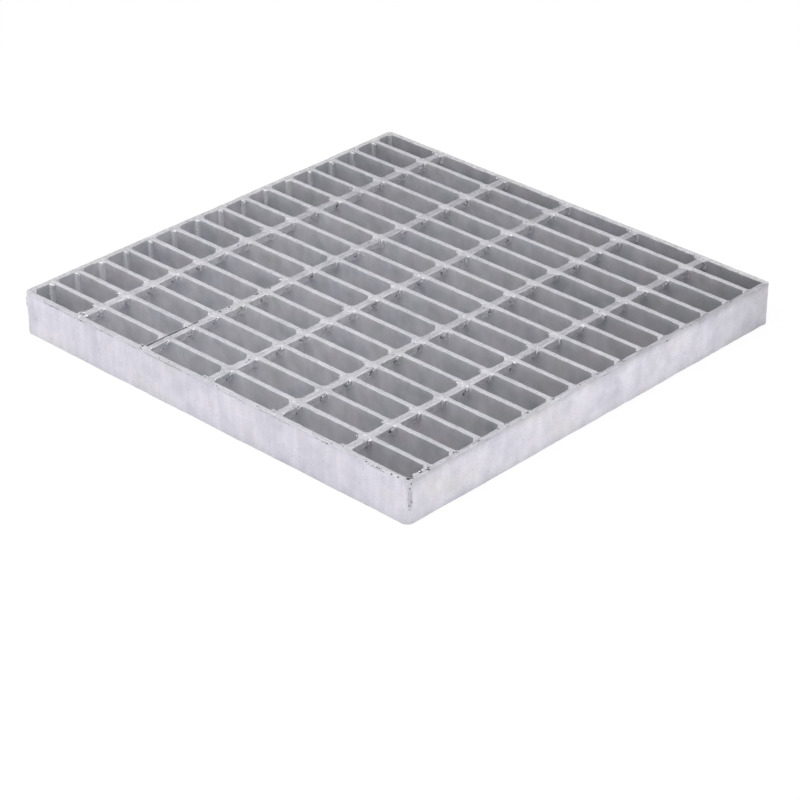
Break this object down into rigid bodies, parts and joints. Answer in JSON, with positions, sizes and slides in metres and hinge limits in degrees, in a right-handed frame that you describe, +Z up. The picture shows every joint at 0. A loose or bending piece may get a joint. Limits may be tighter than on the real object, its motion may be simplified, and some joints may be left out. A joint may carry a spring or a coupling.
{
  "type": "steel grating panel",
  "caption": "Square welded steel grating panel: bearing bars on edge, flush cross bars and a flat bar band all round; lies over a pit or drain and lets water through.",
  "frame": {"origin": "middle of the panel's footprint, on the plane of its underside", "axes": "+X along the bearing bars, +Y across them along the cross bars, +Z up through the panel's depth"},
  "size_m": [0.45, 0.45, 0.04],
  "materials": {
    "galvanised_bars": "hot-dip galvanised, dull silver grey",
    "galvanised_bands": "hot-dip galvanised, pale silver grey with soft zinc runs"
  },
  "bodies": {
    "root": {"bar_grid": "galvanised_bars", "front_band": "galvanised_bands", "back_band": "galvanised_bands", "left_band": "galvanised_bands", "right_band": "galvanised_bands"}
  },
  "joints": []
}
